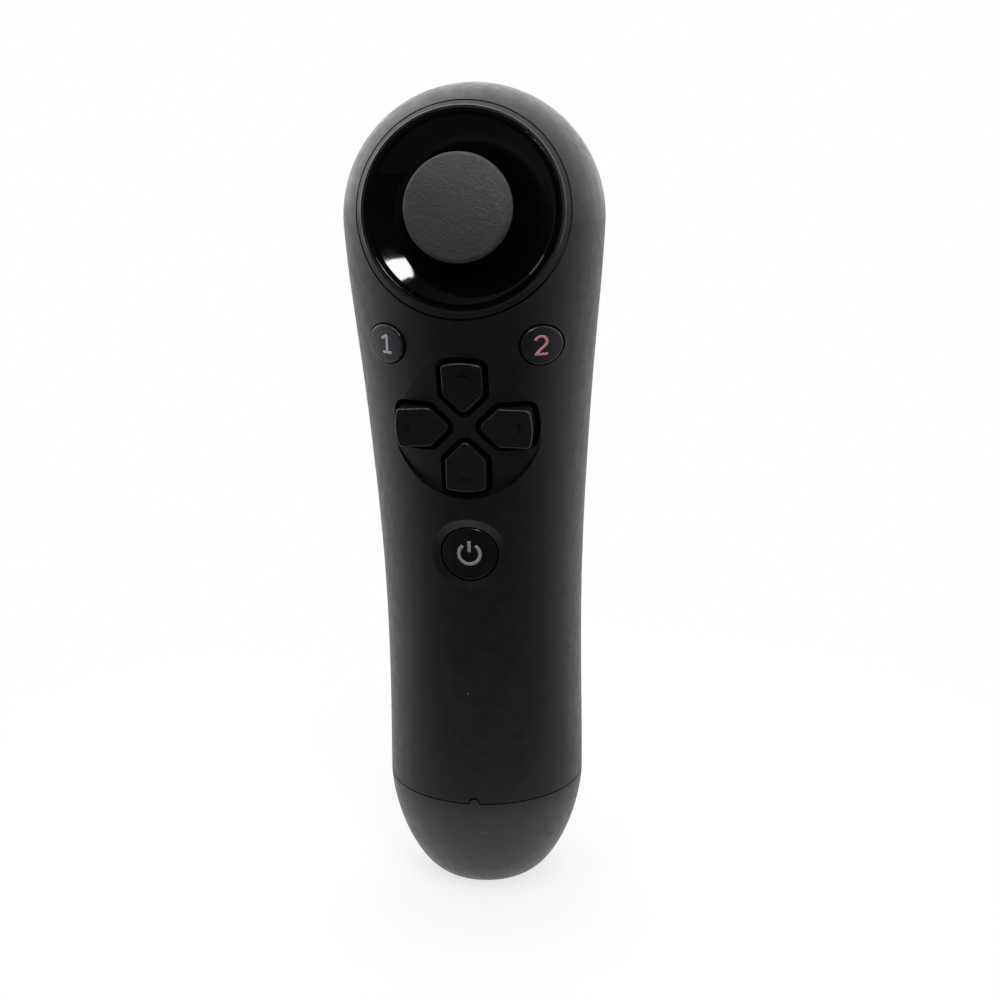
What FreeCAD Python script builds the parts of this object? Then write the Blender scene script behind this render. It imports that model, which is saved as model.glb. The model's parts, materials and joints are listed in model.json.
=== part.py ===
# Handheld motion navigation controller: a rounded two-shell grip that stands on its base cap,
# with a thumb stick in a glossy dish, direction keys, action keys, a home key and two rear keys.
# Millimetres, +Z up from the flat foot of the base cap, the stick and the keys face -Y.
# The head frame has its origin at the stick's pivot, +Z along the stick and +Y up the face.

import FreeCAD
import Part
import math
import os
import re

Vector = FreeCAD.Vector
Rotation = FreeCAD.Rotation

# Driving sizes

SIZES = {
    # Body outline: radius and forward shift of the round sections, from the foot up
    "total_height": 138.0, "wall": 2.0, "head_radius": 21.0, "head_forward": 7.3, "head_tilt": 9.0,
    "seam_height": 19.0, "seam_radius": 17.1, "foot_radius": 8.0, "foot_fullness": 1.63,
    "waist_height": 42.0, "waist_radius": 16.9, "waist_forward": 0.3, "grip_radius": 17.2,
    "grip_forward": 1.8, "chest_radius": 18.2, "chest_forward": 3.7, "neck_radius": 19.75,
    "neck_forward": 6.0,
    # Parting lines
    "split_back": 3.5, "split_lean": 4.3, "seam_gap": 0.2, "spigot_rise": 3.6, "spigot_drop": 2.0,
    "spigot_wall": 1.3, "spigot_gap": 0.25, "tab_radius": 0.9, "tab_gap": 0.1,
    # Glossy dish and its collar, heights along the stick from its pivot
    "dish_radius": 15.25, "dish_rim": 13.8, "dish_hole": 7.4, "dish_floor": 11.8, "dish_wall": 1.4,
    "dish_gap": 0.05, "rim_wall": 1.0, "ledge_top": 12.0, "ledge_wall": 2.0, "ledge_lip": 0.5,
    "collar_top": 14.1, "collar_wall": 0.4, "collar_slope": 0.8, "collar_drop": 1.5,
    "groove_width": 0.25, "groove_depth": 0.4,
    # Thumb stick
    "cap_radius": 8.25, "cap_top": 20.4, "cap_edge": 2.0, "cap_crown": 1.0, "cap_round": 0.7,
    "cap_neck": 3.2, "skirt_radius": 12.4, "skirt_wall": 0.8, "skirt_edge": 6.0,
    "shaft_radius": 1.5, "shaft_top": 14.5, "shaft_shoulder": 2.6, "blade_drop": 2.3,
    "blade_half_x": 1.2, "blade_half_y": 0.8, "pin_radius": 0.6, "running_gap": 0.05,
    "press_travel": 0.4, "rocker_half_x": 4.5, "rocker_half_y": 2.2, "rocker_half_thick": 1.4,
    "slot_half_x": 2.1, "journal_radius": 1.0, "journal_reach": 7.4, "arch_half_x": 2.6,
    "arch_top": 4.2, "arch_thick": 0.8, "arch_reach": 4.6, "arch_leg": 0.7, "arch_slot": 3.2,
    "housing_half": 5.6, "housing_wall": 0.8, "housing_top": 2.6, "housing_floor": 4.2,
    "sensor_thick": 2.6, "sensor_half": 3.0, "sensor_top": 2.2, "sensor_drop": 3.2,
    "switch_length": 2.8, "switch_half": 2.2, "switch_rise": 2.3, "plunger_radius": 0.8,
    "centre_wire": 0.2, "centre_coil": 2.7, "centre_rise": 0.6, "stick_board_half": 15.9,
    "stick_board_top": 7.0, "stick_board_low": 8.4, "stick_post_x": 14.4, "stick_post_radius": 2.0,
    "board_thick": 1.0,
    # Front keys
    "action_spread": 12.1, "action_radius": 3.1, "action_travel": 0.9, "key_gap": 0.25,
    "key_rise": 0.5, "guide_wall": 0.9, "guide_end": 15.9, "lip_wall": 0.9, "lip_thick": 0.9,
    "lip_side": 0.8, "home_radius": 4.6, "home_gap": 0.2, "home_travel": 0.6, "home_depth": 0.6,
    "home_slope": 1.45, "home_lip": 0.9, "home_lip_face": 15.6, "dpad_reach_up": 10.7,
    "dpad_reach_across": 10.8, "dpad_shoulder": 5.4, "dpad_tip": 2.6, "dpad_tip_half": 0.4,
    "key_ease": 0.3, "dpad_half_width": 3.2, "dpad_gap": 0.9, "dpad_corner": 0.7, "dpad_face": 22.5,
    "dpad_face_lean": 10.3, "dpad_face_bowl": 52.0, "dpad_dish_radius": 12.1,
    "dpad_dish_depth": 0.3, "dpad_dish_lean": 2.6, "dpad_dish_flat": 3.0, "dpad_plate_radius": 9.8,
    "dpad_plate_face": 15.8, "dpad_plate_back": 14.4, "dpad_hub_radius": 3.0, "dpad_hub_back": 14.9,
    "dpad_hub_face": 17.6, "ball_radius": 1.5, "ball_forward": 14.6, "support_radius": 2.6,
    "support_face": 14.3, "arrow_width": 2.1, "arrow_length": 1.3, "arrow_inset": 1.0,
    "arrow_depth": 0.25,
    # Boards in the grip
    "board_face": 12.0, "board_low": 34.0, "board_low_half": 8.4, "board_mid_half": 10.2,
    "board_high_half": 14.4, "membrane_thick": 0.8, "dome_rise": 0.8, "dome_radius": 2.2,
    "dome_play": 0.1, "dpad_dome_spread": 7.4, "board_post_radius": 1.8, "board_post_low_x": 6.2,
    "board_post_low": 46.0, "board_post_high_x": 4.5, "small_shank": 0.75, "small_head": 1.5,
    "small_head_thick": 0.9, "small_length": 4.6, "chip_side": 8.0, "chip_thick": 1.0,
    "radio_width": 11.0, "radio_length": 13.0, "radio_thick": 1.8, "plug_width": 5.4,
    "plug_length": 5.0, "plug_thick": 3.2, "plug_height": 41.5,
    # Battery and its tray
    "battery_half": 9.0, "battery_length": 47.4, "battery_thick": 7.8, "battery_low": 39.3,
    "battery_round": 1.6, "tray_back": 2.4, "tray_thick": 1.2, "tray_half": 10.2, "tray_wall": 1.0,
    "tray_rise": 6.9, "tray_gap": 0.2, "tray_low": 27.4, "lead_slot_half": 3.2,
    "lead_slot_low": 31.5, "lead_slot_high": 37.4, "lead_radius": 0.5, "lead_spread": 1.1,
    "lead_bend": 1.5,
    # Shell screws
    "screw_low": 30.0, "screw_low_x": 10.6, "screw_high": 75.0, "screw_high_x": 13.2,
    "boss_radius": 2.4, "cup_wall": 0.6, "screw_shank": 0.85, "screw_head": 1.8,
    "screw_head_thick": 1.3, "screw_length": 9.0, "screw_seat": 1.6, "screw_gap": 0.2,
    "drive_radius": 0.8, "drive_depth": 0.6,
    # Charging port
    "port_half_x": 3.85, "port_half_y": 1.95, "port_low": 0.5, "port_length": 9.2, "port_skin": 0.4,
    "port_depth": 7.0, "tongue_half": 2.2, "tongue_thick": 1.0, "port_gap": 0.2,
    "port_board_half": 7.0, "port_board_low": 6.0, "port_board_high": 18.5, "rib_width": 2.4,
    "rib_thick": 3.1,
    # Rear keys
    "window_half": 8.6, "window_corner": 2.2, "rear_gap": 0.4, "rear_rise": 0.8, "rear_skin": 3.2,
    "bumper_pivot_back": 6.0, "bumper_lug": 1.4, "bumper_pin": 0.75, "bumper_foot_tip": 6.0,
    "trigger_reach": 17.6, "trigger_curve": 36.2, "trigger_skin": 2.8, "trigger_round": 12.0,
    "trigger_side": 1.3, "trigger_side_front": 9.5, "trigger_pivot_back": 8.0, "trigger_lug": 1.9,
    "trigger_pin": 1.0, "trigger_knuckle": 3.2, "trigger_foot_tip": 8.2, "foot_half": 1.4,
    "bracket_face": 1.0, "bracket_thick": 1.2, "bracket_half": 9.9, "bracket_screw_x": 12.6,
    "ear_reach": 10.5, "cavity_gap": 0.25, "pin_half": 9.7, "rear_board_half": 7.6,
    "bumper_pad_tip": 5.3, "trigger_pad_tip": 6.0, "pad_radius": 1.9, "spring_wire": 0.25,
    "spring_coil": 1.55, "spring_pitch": 0.65, "spring_half": 2.6, "spring_leg": 5.2,
    "ribbon_thick": 0.3, "ribbon_width": 5.0,
}

# Heights above the centre of the head, for everything that moves with the head
HEAD_HEIGHTS = {
    "neck_height": -17.0, "chest_height": -37.0, "grip_height": -56.0, "action_height": -18.3,
    "dpad_height": -31.3, "home_height": -53.1, "board_high": -13.0, "board_shelf": -24.0,
    "board_step": -61.0, "board_post_high": -16.6, "chip_height": -41.0, "radio_height": -55.0,
    "window_low": -19.2, "window_high": 14.2, "bumper_low": 2.6, "bumper_high": 13.7,
    "bumper_pivot_up": 11.6, "bumper_foot": 4.8, "trigger_low": -16.8, "trigger_high": 1.5,
    "trigger_bulge": -15.2, "trigger_pivot_up": -0.2, "trigger_foot": -8.0, "bracket_low": -13.5,
    "bracket_high": 11.5, "bracket_screw": -5.0, "ear_low": -4.0, "rear_board_low": -12.0,
    "rear_board_high": 9.0,
}

doc = FreeCAD.newDocument("navigation_controller")
sheet = doc.addObject("Spreadsheet::Sheet", "Sizes")
for row, (alias, size) in enumerate({**SIZES, **HEAD_HEIGHTS}.items(), start=1):
    sheet.set("A%d" % row, alias)
    sheet.set("B%d" % row, str(size))
    sheet.setAlias("B%d" % row, alias)
doc.recompute()

# Formulas that several pieces share

HEAD_HEIGHT = "(total_height - head_radius)"
BOARD_BACK = "(board_face - board_thick)"
MEMBRANE_FACE = "(board_face + membrane_thick)"
DOME_FACE = "(%s + dome_rise)" % MEMBRANE_FACE
ACTION_BACK = "(%s + action_travel + dome_play)" % DOME_FACE
HOME_BACK = "(%s + home_travel + dome_play)" % DOME_FACE
TRAY_FRONT = "(tray_back + tray_thick)"
LEDGE_LOW = "(ledge_top - ledge_wall)"
STICK_BOARD_FRONT = "(housing_floor)"
STICK_BOARD_BACK = "(housing_floor + board_thick)"
BOWL_HEIGHT = ("(((dish_radius - rim_wall)^2 + dish_rim^2 - dish_hole^2 - dish_floor^2)"
               " / (2 * (dish_rim - dish_floor)))")
BOWL_RADIUS = "sqrt(dish_hole^2 + (%s - dish_floor)^2)" % BOWL_HEIGHT
BRACKET_BACK = "(bracket_face + bracket_thick)"
REAR_BOARD_BACK = "(bracket_face + bracket_thick + board_thick)"
TOOL_REACH = "60"
SCREW_SPOTS = [("-screw_low_x", "screw_low"), ("screw_low_x", "screw_low"),
               ("-screw_high_x", "screw_high"), ("screw_high_x", "screw_high")]
BOARD_SPOTS = [("-board_post_low_x", "board_post_low"), ("board_post_low_x", "board_post_low"),
               ("-board_post_high_x", "board_post_high"), ("board_post_high_x", "board_post_high")]

# Helpers that bind objects to the sheet

nodes = {}
spots = {}


def reference(word):
    """A word of a formula as a reference to the sheet, if it names a size."""
    name = word.group(0)
    if name in HEAD_HEIGHTS:
        return "(Sizes.%s + Sizes.total_height - Sizes.head_radius)" % name
    return "Sizes." + name if name in SIZES else name


def bound(formula):
    """Rewrite size names in a formula as references to the sheet."""
    return re.sub(r"[a-z][a-z_]*", reference, str(formula))


def number(formula):
    """The present value of a formula."""
    value = sheet.evalExpression(bound(formula))
    return float(getattr(value, "Value", value))


def bind(item, **formulas):
    for prop, formula in formulas.items():
        item.setExpression(prop, bound(formula))


def place(item, x="0", y="0", z="0", rotation=None):
    """Put an object at bound coordinates, with a fixed rotation if it needs one."""
    spots[item.Name] = (x, y, z)
    if rotation is not None:
        item.Placement = FreeCAD.Placement(Vector(0, 0, 0), rotation)
    for axis, formula in zip("xyz", (x, y, z)):
        item.setExpression("Placement.Base." + axis, bound(formula))
    return item


def in_head(item):
    """Move an object modelled about the stick's pivot into the head."""
    item.Placement = FreeCAD.Placement(Vector(0, 0, 0), Rotation(Vector(1, 0, 0), 1))
    item.setExpression("Placement.Rotation.Angle", bound("90 - head_tilt"))
    x, y, z = spots.get(item.Name, ("0", "0", "0"))
    return place(item, x,
                 "(%s) * sin(head_tilt) - (%s) * cos(head_tilt) - head_forward" % (y, z),
                 "(%s) * cos(head_tilt) + (%s) * sin(head_tilt) + %s" % (y, z, HEAD_HEIGHT))


def box(name, x, y, z):
    """A block between bound limits, each given as a (low, high) pair."""
    item = doc.addObject("Part::Box", name)
    bind(item, Length="(%s) - (%s)" % (x[1], x[0]), Width="(%s) - (%s)" % (y[1], y[0]),
         Height="(%s) - (%s)" % (z[1], z[0]))
    return place(item, x[0], y[0], z[0])


def wide_box(name, half, y, z):
    """A block that is symmetrical about the middle plane."""
    return box(name, ("-(%s)" % half, half), y, z)


TURNS = {"x": Rotation(Vector(0, 1, 0), 90), "y": Rotation(Vector(1, 0, 0), -90), "z": Rotation()}


def rod(name, along, radius, start, length, end_radius=None):
    """A round bar from a bound start point along +X, +Y or +Z, or a cone if it tapers."""
    item = doc.addObject("Part::Cylinder" if end_radius is None else "Part::Cone", name)
    if end_radius is None:
        bind(item, Radius=radius, Height=length)
    else:
        bind(item, Radius1=radius, Radius2=end_radius, Height=length)
    return place(item, *start, rotation=TURNS[along])


def ball(name, radius, centre=("0", "0", "0"), lowest=-90, poles=TURNS["z"]):
    """A sphere, cut off below an angle if one is given, with its poles turned if need be."""
    item = doc.addObject("Part::Sphere", name)
    bind(item, Radius=radius)
    item.Angle1 = lowest
    return place(item, *centre, rotation=poles)


def fuse(name, parts):
    item = doc.addObject("Part::MultiFuse", name)
    item.Shapes = list(parts)
    return item


def common(name, parts):
    item = doc.addObject("Part::MultiCommon", name)
    item.Shapes = list(parts)
    return item


def cut(name, base, tools):
    item = doc.addObject("Part::Cut", name)
    item.Base = base
    tools = list(tools)
    item.Tool = tools[0] if len(tools) == 1 else fuse(name + "Tools", tools)
    return item


def tube(name, along, outer, inner, start, length):
    return cut(name, rod(name + "Outside", along, outer, start, length),
               [rod(name + "Bore", along, inner, start, length)])


def rounded(name, base, radius, wanted):
    """Fillet the edges of an object that pass a test."""
    doc.recompute()
    item = doc.addObject("Part::Fillet", name)
    item.Base = base
    size = number(radius)
    item.Edges = [(index, size, size) for index, edge in enumerate(base.Shape.Edges, start=1)
                  if not edge.Degenerated and wanted(edge)]
    return item


def along_y(edge):
    direction = edge.Vertexes[-1].Point - edge.Vertexes[0].Point
    return direction.Length > 1e-6 and abs(direction.y) > 0.999 * direction.Length


def node(name, item):
    """Name an object as one of the controller's separate pieces."""
    item.Label = name
    nodes[name] = item
    return item


def solid_node(name, shape):
    """A piece whose shape is worked out here from the sheet's sizes."""
    item = doc.addObject("Part::Feature", name)
    item.Shape = shape
    item.Placement = FreeCAD.Placement()
    return node(name, item)


# Body outline, whole and inset

STATIONS = [("seam_height", "seam_radius", "0"), ("waist_height", "waist_radius", "waist_forward"),
            ("grip_height", "grip_radius", "grip_forward"),
            ("chest_height", "chest_radius", "chest_forward"),
            ("neck_height", "neck_radius", "neck_forward"),
            (HEAD_HEIGHT, "head_radius", "head_forward"),
            ("(2 * %s - neck_height)" % HEAD_HEIGHT, "neck_radius", "neck_forward")]


def base_dome(name, inset):
    """The rounded base below the seam, turned from a superellipse."""
    foot = number("foot_radius") - number(inset) / 2
    rim = number("seam_radius") - number(inset)
    low = number(inset)
    rise = number("seam_height") - low
    power = number("foot_fullness")
    steps = 12
    points = []
    for step in range(steps + 1):
        turn = math.pi / 2 * step / steps
        out = math.sin(turn) ** (2 / power)
        down = math.cos(turn) ** (2 / power)
        points.append(Vector(foot + (rim - foot) * out, 0, low + rise * (1 - down)))
    curve = Part.BSplineCurve()
    curve.interpolate(points)
    top = Vector(0, 0, points[-1].z)
    floor = Vector(0, 0, low)
    outline = Part.Wire([Part.makeLine(floor, points[0]), curve.toShape(),
                         Part.makeLine(points[-1], top), Part.makeLine(top, floor)])
    item = doc.addObject("Part::Feature", name)
    item.Shape = Part.Face(outline).revolve(Vector(0, 0, 0), Vector(0, 0, 1), 360)
    return item


def trunk(name, inset):
    """The grip and the head above the seam, every wall moved in by the inset."""
    rings = []
    for index, (height, radius, forward) in enumerate(STATIONS):
        ring = doc.addObject("Part::Circle", "%sRing%d" % (name, index))
        bind(ring, Radius="%s - (%s)" % (radius, inset))
        rings.append(place(ring, "0", "-(%s)" % forward, height))
    loft = doc.addObject("Part::Loft", name + "Loft")
    loft.Sections = rings
    loft.Solid = True
    lower = common(name + "Grip", [loft, wide_box(name + "Reach", TOOL_REACH, ("-60", "60"),
                                                  ("0", HEAD_HEIGHT))])
    head = ball(name + "Head", "head_radius - (%s)" % inset,
                ("0", "-head_forward", HEAD_HEIGHT), lowest=0)
    return fuse(name, [lower, head])


outer = trunk("Outer", "0")
cavity = trunk("Cavity", "wall")
seat_skin = trunk("SeatSkin", "wall / 2")
spaced_cavity = trunk("SpacedCavity", "wall + cavity_gap")
key_skin = trunk("KeySkin", "-key_rise")
dish_skin = trunk("DishSkin", "-dpad_dish_flat")
dish_skin.Placement = FreeCAD.Placement(Vector(0, 0, 0), Rotation(Vector(1, 0, 0), 1))
dish_skin.setExpression("Placement.Rotation.Angle", bound("dpad_dish_lean"))
place(dish_skin, "0", "(dpad_height + dpad_dish_radius) * sin(dpad_dish_lean)"
      " + dpad_dish_flat + dpad_dish_depth",
      "(dpad_height + dpad_dish_radius) * (1 - cos(dpad_dish_lean))")
home_skin = trunk("HomeSkin", "home_depth")

# Parting planes


def behind(name, gap):
    """Everything behind the leaning plane that parts the two shells, less a gap."""
    item = box(name, ("-60", "60"), ("0", "120"), ("0", "240"))
    item.Placement = FreeCAD.Placement(Vector(0, 0, 0), Rotation(Vector(1, 0, 0), 1))
    item.setExpression("Placement.Rotation.Angle", bound("split_lean"))
    return place(item, "-60", "split_back + 60 * tan(split_lean) + %s" % gap, "seam_height - 60")


rear_side = behind("RearSide", "0")
rear_room = behind("RearRoom", "seam_gap")

shell_wall = cut("ShellWall", outer, [cavity])

# Front keys: the spaces they need in the shell


def dpad_prism(name, side, gap, deep):
    """One pointed key of the cross, pointing at the middle, grown by a gap on every side."""
    far = "dpad_reach_across" if side % 2 else "dpad_reach_up"
    slope = "((dpad_shoulder - dpad_tip) / (dpad_half_width - dpad_tip_half))"
    spread = "(%s * sqrt(1 + 1 / %s^2))" % (gap, slope)
    half = "(dpad_half_width + %s)" % gap
    tip = "(dpad_tip - %s)" % gap
    tip_half = "(dpad_tip_half - %s / %s + %s)" % (gap, slope, spread)
    shoulder = "(dpad_tip + %s * (%s - dpad_tip_half - %s))" % (slope, half, spread)
    reach = "(%s + %s)" % (far, gap)
    straight = doc.addObject("Part::Box", name + "Bar")
    bind(straight, Length="2 * %s" % half, Width="%s - %s" % (reach, shoulder), Height=deep)
    place(straight, "-" + half, shoulder, "0")
    point = doc.addObject("Part::Wedge", name + "Point")
    bind(point, Xmin="-" + tip_half, Xmax=tip_half, X2min="-" + half, X2max=half, Ymin=tip,
         Ymax=shoulder, Zmin="0", Zmax=deep, Z2min="0", Z2max=deep)
    prism = common(name + "Prism", [fuse(name + "Outline", [straight, point]),
                                    rod(name + "End", "z", reach, ("0", "0", "0"), deep)])
    prism.Refine = True
    key = rounded(name, prism, "dpad_corner + (%s)" % gap, lambda edge: abs(
        edge.tangentAt(edge.FirstParameter).z) > 0.999)
    turn = Rotation(Vector(0, 1, 0), 90 * side).multiply(Rotation(Vector(1, 0, 0), 90))
    return place(key, "0", "-dpad_plate_face", "dpad_height", rotation=turn)


dpad_holes = [dpad_prism("DpadHole%d" % side, side, "dpad_gap", "20") for side in range(4)]
dpad_dish = cut("DpadDish", rod("DpadDishBar", "y", "dpad_dish_radius",
                                ("0", "-50", "dpad_height"), "38"), [dish_skin])
home_dish = cut("HomeDish", rod("HomeDishBar", "y", "home_radius + home_gap",
                                ("0", "-50", "home_height"), "38"), [home_skin])
home_hole = rod("HomeHole", "y", "home_radius + home_gap", ("0", "-50", "home_height"), "40")
action_holes = [rod("ActionHole%d" % side, "y", "action_radius + key_gap",
                    ("%d * action_spread" % side, "-50", "action_height"), "40")
                for side in (-1, 1)]

# Front shell


def front_bosses():
    """Posts and rings inside the front shell, all grown into its wall."""
    parts = []
    for index, (x, z) in enumerate(SCREW_SPOTS):
        parts.append(rod("FrontBoss%d" % index, "y", "boss_radius", (x, "-50", z),
                         "50 - %s" % TRAY_FRONT))
    for index, (x, z) in enumerate(BOARD_SPOTS):
        parts.append(rod("BoardPost%d" % index, "y", "board_post_radius", (x, "-50", z),
                         "50 - board_face"))
    for side in (-1, 1):
        parts.append(rod("KeyGuide%d" % side, "y", "action_radius + key_gap + guide_wall",
                         ("%d * action_spread" % side, "-50", "action_height"), "50 - guide_end"))
    ledge = rod("Ledge", "z", "dish_radius + wall", ("0", "0", LEDGE_LOW), "ledge_wall")
    posts = [rod("StickPost%d" % side, "z", "stick_post_radius",
                 ("%d * stick_post_x" % side, "0", "-" + STICK_BOARD_FRONT),
                 "%s + ledge_lip - (-%s)" % (LEDGE_LOW, STICK_BOARD_FRONT)) for side in (-1, 1)]
    ring = cut("LedgeRing", ledge, [rod("LedgeBore", "z", "dish_radius - ledge_lip",
                                        ("0", "0", "0"), "30")])
    parts.append(in_head(fuse("HeadPosts", [ring] + posts)))
    return common("FrontBosses", [fuse("FrontBossSet", parts), seat_skin])


def front_pilots():
    """Pilot holes for the screws that bite into the front shell."""
    holes = []
    for index, (x, z) in enumerate(SCREW_SPOTS):
        holes.append(rod("FrontPilot%d" % index, "y", "screw_shank",
                         (x, "-(screw_length + tray_back - screw_seat)", z), "screw_length"))
    for index, (x, z) in enumerate(BOARD_SPOTS):
        holes.append(rod("BoardPilot%d" % index, "y", "small_shank",
                         (x, "-(%s + small_length)" % BOARD_BACK, z), "small_length"))
    pilots = [rod("StickPilot%d" % side, "z", "small_shank",
                  ("%d * stick_post_x" % side, "0", "-" + STICK_BOARD_BACK), "small_length")
              for side in (-1, 1)]
    holes.append(in_head(fuse("StickPilots", pilots)))
    return holes


def sloped_rim(name, shell, radius, height, width, depth):
    """Ease the rim of a round recess in the front into a sloping ring."""
    doc.recompute()
    rim = number(radius)
    centre = number(height)
    skin = outer.Shape.Shells[0]
    picked = []
    for index, edge in enumerate(shell.Shape.Edges, start=1):
        points = [edge.valueAt(edge.FirstParameter + share * (edge.LastParameter
                  - edge.FirstParameter)) for share in (0, 0.3, 0.5, 0.8)]
        round_rim = all(abs(math.hypot(p.x, p.z - centre) - rim) < 0.02 for p in points)
        if round_rim and skin.distToShape(Part.Vertex(points[2]))[0] < 0.05:
            picked.append((index, number(width), number(depth)))
    item = doc.addObject("Part::Chamfer", name)
    item.Base = shell
    item.Edges = picked
    return item


def make_front_shell():
    collar_foot = "(dish_radius + dish_gap + collar_wall + collar_slope)"
    mouth = in_head(rod("HeadMouth", "z", "dish_radius + dish_gap", ("0", "0", "dish_hole"), "20"))
    crown = in_head(rod("CrownCut", "z", "dish_radius + dish_gap + collar_wall",
                        ("0", "0", "collar_top"), "20"))
    collar = in_head(cut("Collar", rod("CollarCone", "z", collar_foot,
                                       ("0", "0", "collar_top - collar_drop"), "collar_drop",
                                       end_radius="dish_radius + dish_gap + collar_wall"),
                         [rod("CollarBore", "z", "dish_radius + dish_gap",
                              ("0", "0", "dish_hole"), "20")]))
    groove = in_head(tube(
        "CollarGroove", "z", "%s + groove_width" % collar_foot, collar_foot,
        ("0", "0", "sqrt(head_radius^2 - %s^2) - groove_depth" % collar_foot), "20"))
    notch = rod("TabNotch", "y", "tab_radius + tab_gap", ("0", "-40", "seam_height"), "30")
    skin = cut("FrontSkin", shell_wall, [rear_side])
    lined = cut("FrontLined", skin, [notch])
    dished = cut("FrontDished", lined, [dpad_dish, home_dish])
    sloped = sloped_rim("HomeSlope", dished, "home_radius + home_gap", "home_height",
                        "home_slope", "home_depth - 0.1")
    opened = cut("FrontOpened", cut("FrontCrowned", sloped, [crown]), [mouth])
    collared = fuse("FrontCollared", [cut("FrontGrooved", opened, [groove]), collar])
    shell = fuse("FrontWhole", [collared, front_bosses()])
    cutters = [home_hole] + dpad_holes + action_holes + front_pilots()
    return node("front_shell", cut("FrontShell", shell, cutters))


# Rear shell


def rear_bosses():
    """Screw bosses and bracket posts on the inside of the rear shell."""
    parts = []
    for index, (x, z) in enumerate(SCREW_SPOTS):
        parts.append(rod("RearBoss%d" % index, "y", "screw_head + screw_gap + cup_wall",
                         (x, "-tray_back", z), "60"))
    for side in (-1, 1):
        parts.append(rod("BracketPost%d" % side, "y", "stick_post_radius",
                         ("%d * bracket_screw_x" % side, BRACKET_BACK, "bracket_screw"), "60"))
    return common("RearBosses", [fuse("RearBossSet", parts), seat_skin])


def rear_bores():
    """Counterbores, screw holes and pilot holes in the rear shell."""
    holes = []
    for index, (x, z) in enumerate(SCREW_SPOTS):
        holes.append(rod("Counterbore%d" % index, "y", "screw_head + screw_gap",
                         (x, "screw_seat - tray_back", z), "60"))
        holes.append(rod("ScrewHole%d" % index, "y", "screw_shank + screw_gap",
                         (x, "-tray_back - 1", z), "60"))
    for side in (-1, 1):
        holes.append(rod("BracketPilot%d" % side, "y", "small_shank",
                         ("%d * bracket_screw_x" % side, "bracket_face", "bracket_screw"),
                         "small_length"))
    holes.append(rod("UpperPinSeat", "x", "bumper_pin",
                     ("-pin_half", "bumper_pivot_back", "bumper_pivot_up"), "2 * pin_half"))
    return holes


def rear_window(name, gap, low, high):
    """A block with rounded corners that fills the rear window, less a gap at its sides."""
    block = wide_box(name + "Block", "window_half - (%s)" % gap, ("1", "60"), (low, high))
    return rounded(name, block, "window_corner", along_y)


def make_rear_shell():
    skin = common("RearSkin", [shell_wall, rear_room])
    window = rear_window("RearWindow", "0", "window_low", "window_high")
    shell = fuse("RearWhole", [cut("RearOpened", skin, [window]),
                               cut("RearPosts", rear_bosses(), [rear_window(
                                   "PostWindow", "0", "window_low", "window_high")])])
    return node("rear_shell", cut("RearShell", shell, rear_bores()))


# Base cap, closed by its own spigot inside the two shells


def make_base_cap():
    dome = base_dome("BaseOutside", "0")
    room = base_dome("BaseInside", "wall")
    seam_trim = wide_box("SeamTrim", TOOL_REACH, ("-60", "60"),
                         ("seam_height - seam_gap", "seam_height + 1"))
    cup = cut("BaseCup", dome, [room, seam_trim])
    spigot = tube("Spigot", "z", "seam_radius - wall - spigot_gap",
                  "seam_radius - wall - spigot_gap - spigot_wall",
                  ("0", "0", "seam_height - spigot_drop"), "spigot_drop + spigot_rise")
    root = tube("SpigotRoot", "z", "seam_radius - wall / 2",
                "seam_radius - wall - spigot_gap - spigot_wall",
                ("0", "0", "seam_height - spigot_drop"), "spigot_drop - seam_gap")
    tab = common("Tab", [rod("TabBar", "y", "tab_radius", ("0", "-40", "seam_height - seam_gap"),
                             "60"),
                         tube("TabBand", "z", "seam_radius",
                              "seam_radius - wall - spigot_gap - spigot_wall / 2",
                              ("0", "0", "seam_height - seam_gap"), "seam_gap + tab_radius"),
                         wide_box("TabFront", "tab_radius + 1", ("-60", "0"), ("0", "60"))])
    ribs = [box("PortRib%d" % side,
                sorted(("%d * (port_board_half - 0.6)" % side,
                        "%d * (port_board_half - 0.6 + rib_width)" % side),
                       key=number),
                ("port_half_y - 1", "port_half_y - 1 + rib_thick"),
                ("wall / 2", "seam_height - spigot_drop")) for side in (-1, 1)]
    inner = common("RibsInside", [fuse("RibSet", ribs), base_dome("RibLimit", "wall / 2")])
    whole = fuse("BaseWhole", [cup, spigot, root, tab, inner])
    slot = wide_box("PortSlot", "port_half_x + port_gap",
                    ("-(port_half_y + port_gap)", "port_half_y + port_gap"), ("-1", "6"))
    groove = wide_box("PortBoardSlot", "port_board_half + running_gap",
                      ("port_half_y - running_gap", "port_half_y + board_thick + running_gap"),
                      ("port_board_low", "60"))
    return node("base_cap", cut("BaseCap", whole, [slot, groove]))


# Glossy dish round the stick


def make_dish_bezel():
    """A ring cut from a bowl, with a thicker rim that stands on the ledge of the front shell."""
    centre = ("0", "0", BOWL_HEIGHT)
    outside = ball("BowlOutside", "%s + dish_wall" % BOWL_RADIUS, centre)
    inside = ball("BowlInside", BOWL_RADIUS, centre)
    room = rod("BowlRoom", "z", "dish_radius", ("0", "0", "0"), "dish_rim")
    rim = rod("Rim", "z", "dish_radius", ("0", "0", "ledge_top"), "dish_rim - ledge_top")
    hole = rod("DishHole", "z", "dish_hole", ("0", "0", "0"), "30")
    solid = cut("Bowl", fuse("BowlWhole", [common("BowlBody", [outside, room]), rim]),
                [inside, hole])
    return node("dish_bezel", in_head(solid))


# Thumb stick, modelled about its pivot


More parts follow.
